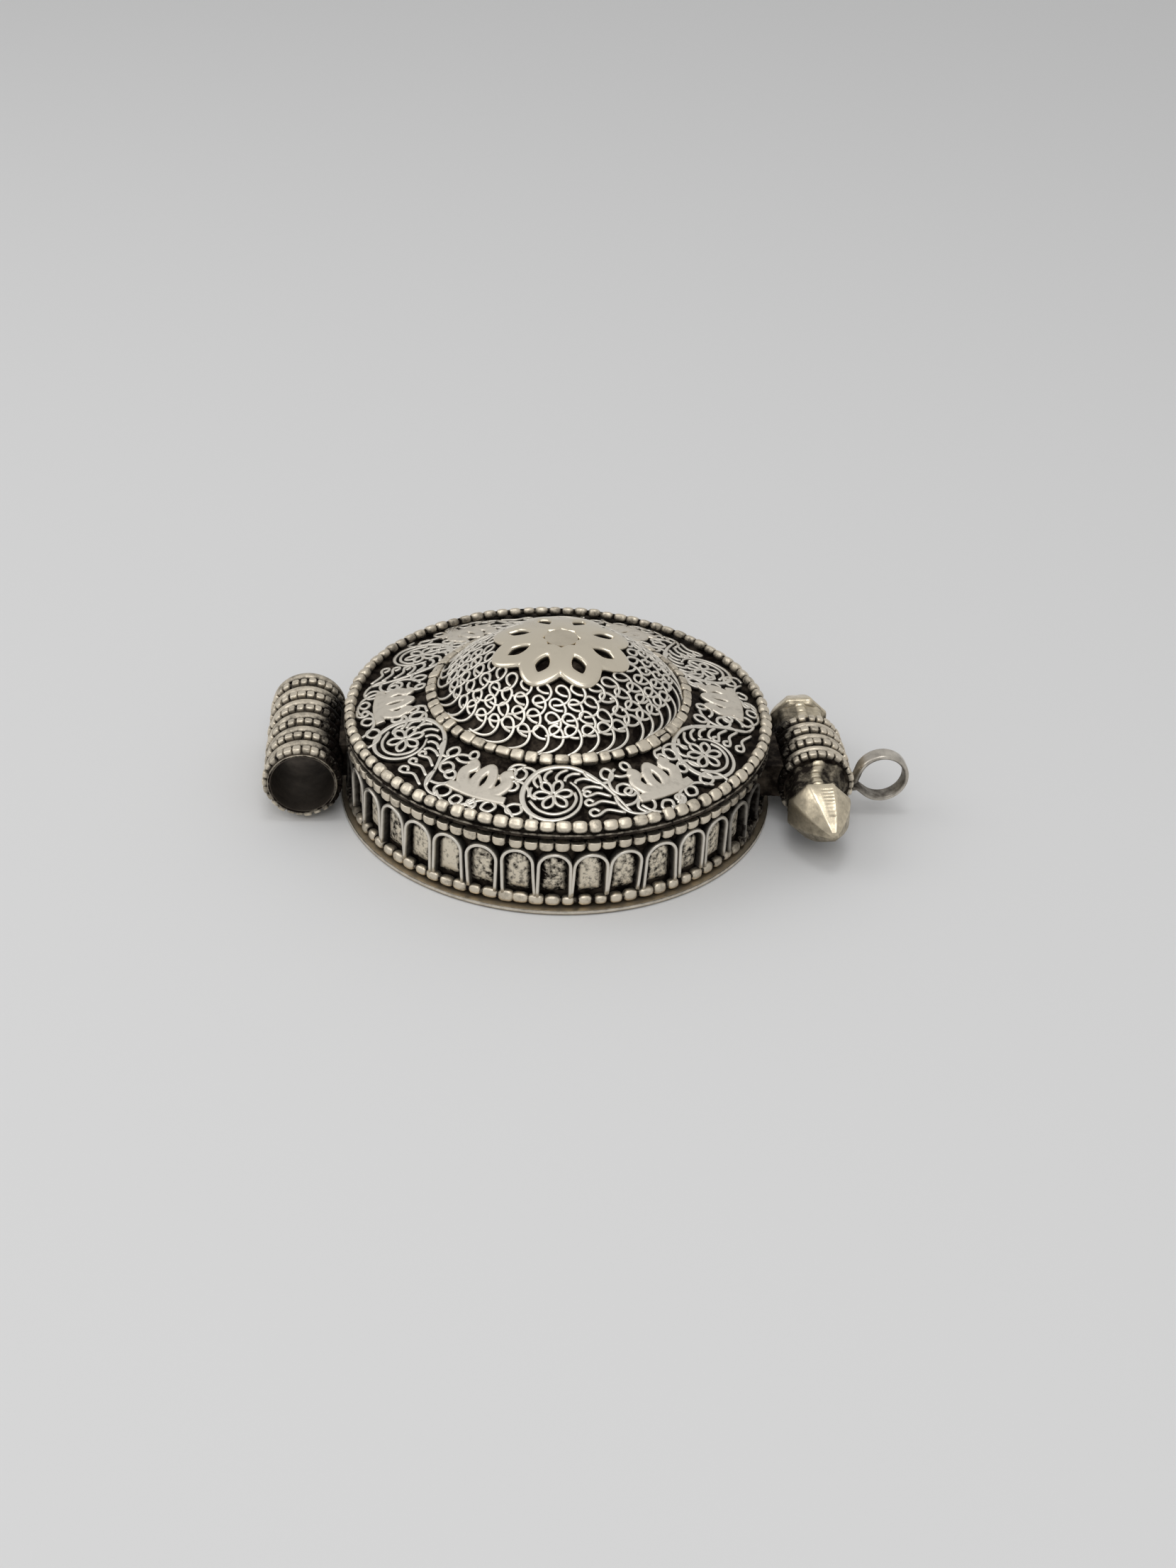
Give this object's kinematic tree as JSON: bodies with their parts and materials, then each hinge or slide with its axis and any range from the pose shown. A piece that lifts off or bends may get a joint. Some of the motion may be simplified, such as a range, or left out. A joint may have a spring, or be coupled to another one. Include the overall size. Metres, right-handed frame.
{
  "type": "ghau amulet box",
  "caption": "Round domed amulet box with filigree face, beaded edges, cord tube, finial with pendant eye and a plain friction-fit back cover that pulls off.",
  "frame": {"origin": "centre of the flat back face of the cover", "axes": "+Z out through the dome, -X to the cord tube, +X to the finial and its eye"},
  "size_m": [0.0917, 0.0614, 0.0247],
  "materials": {
    "bright_metal": "white nickel brass, worn bright on the high spots",
    "dark_metal": "white nickel brass, blackened by oxide",
    "petal_metal": "white nickel brass, mottled by oxide",
    "bud_metal": "white nickel brass, polished with a warm tarnish",
    "cover_metal": "white nickel brass, plain and lightly tarnished"
  },
  "bodies": {
    "back_cover": {"back_plate": "cover_metal", "back_collar": "cover_metal"},
    "box": {"bail_bead_ring_1": "bright_metal", "bail_bead_ring_11": "bright_metal", "bail_bead_ring_3": "bright_metal", "bail_bead_ring_5": "bright_metal", "bail_bead_ring_7": "bright_metal", "bail_bead_ring_9": "bright_metal", "bail_plain_ring_10": "bright_metal", "bail_plain_ring_12": "bright_metal", "bail_plain_ring_2": "bright_metal", "bail_plain_ring_4": "bright_metal", "bail_plain_ring_6": "bright_metal", "bail_plain_ring_8": "bright_metal", "bail_saddle": "dark_metal", "bail_tube": "dark_metal", "centre_boss": "bright_metal", "centre_plate": "bright_metal", "cone_curls": "bright_metal", "dome_bead_wire": "bright_metal", "dome_curls_1": "bright_metal", "dome_curls_2": "bright_metal", "dome_curls_3": "bright_metal", "eye_strap": "bright_metal", "face_sheet": "dark_metal", "finial_bead_ring_1": "bright_metal", "finial_bead_ring_3": "bright_metal", "finial_bead_ring_5": "bright_metal", "finial_bead_ring_7": "bright_metal", "finial_front_bud": "bud_metal", "finial_front_neck": "bud_metal", "finial_plain_ring_2": "bright_metal", "finial_plain_ring_4": "bright_metal", "finial_plain_ring_6": "bright_metal", "finial_rear_bud": "bud_metal", "finial_rear_neck": "bud_metal", "finial_saddle": "dark_metal", "finial_tube": "dark_metal", "frame_flowers": "bright_metal", "frame_ribs": "bright_metal", "rim_bead_wire": "bright_metal", "ring_plate_1": "bright_metal", "ring_plate_2": "bright_metal", "ring_plate_3": "bright_metal", "ring_plate_4": "bright_metal", "ring_plate_5": "bright_metal", "ring_plate_6": "bright_metal", "scroll_frames": "bright_metal", "wall_arches": "bright_metal", "wall_band": "dark_metal", "wall_lower_bead_wire": "bright_metal", "wall_petals": "petal_metal", "wall_upper_bead_wire": "bright_metal"}
  },
  "joints": [
    {"name": "box_lift", "type": "slide", "parent": "back_cover", "child": "box", "axis": [0, 0, 1], "range_m": [0, 0.02]}
  ]
}
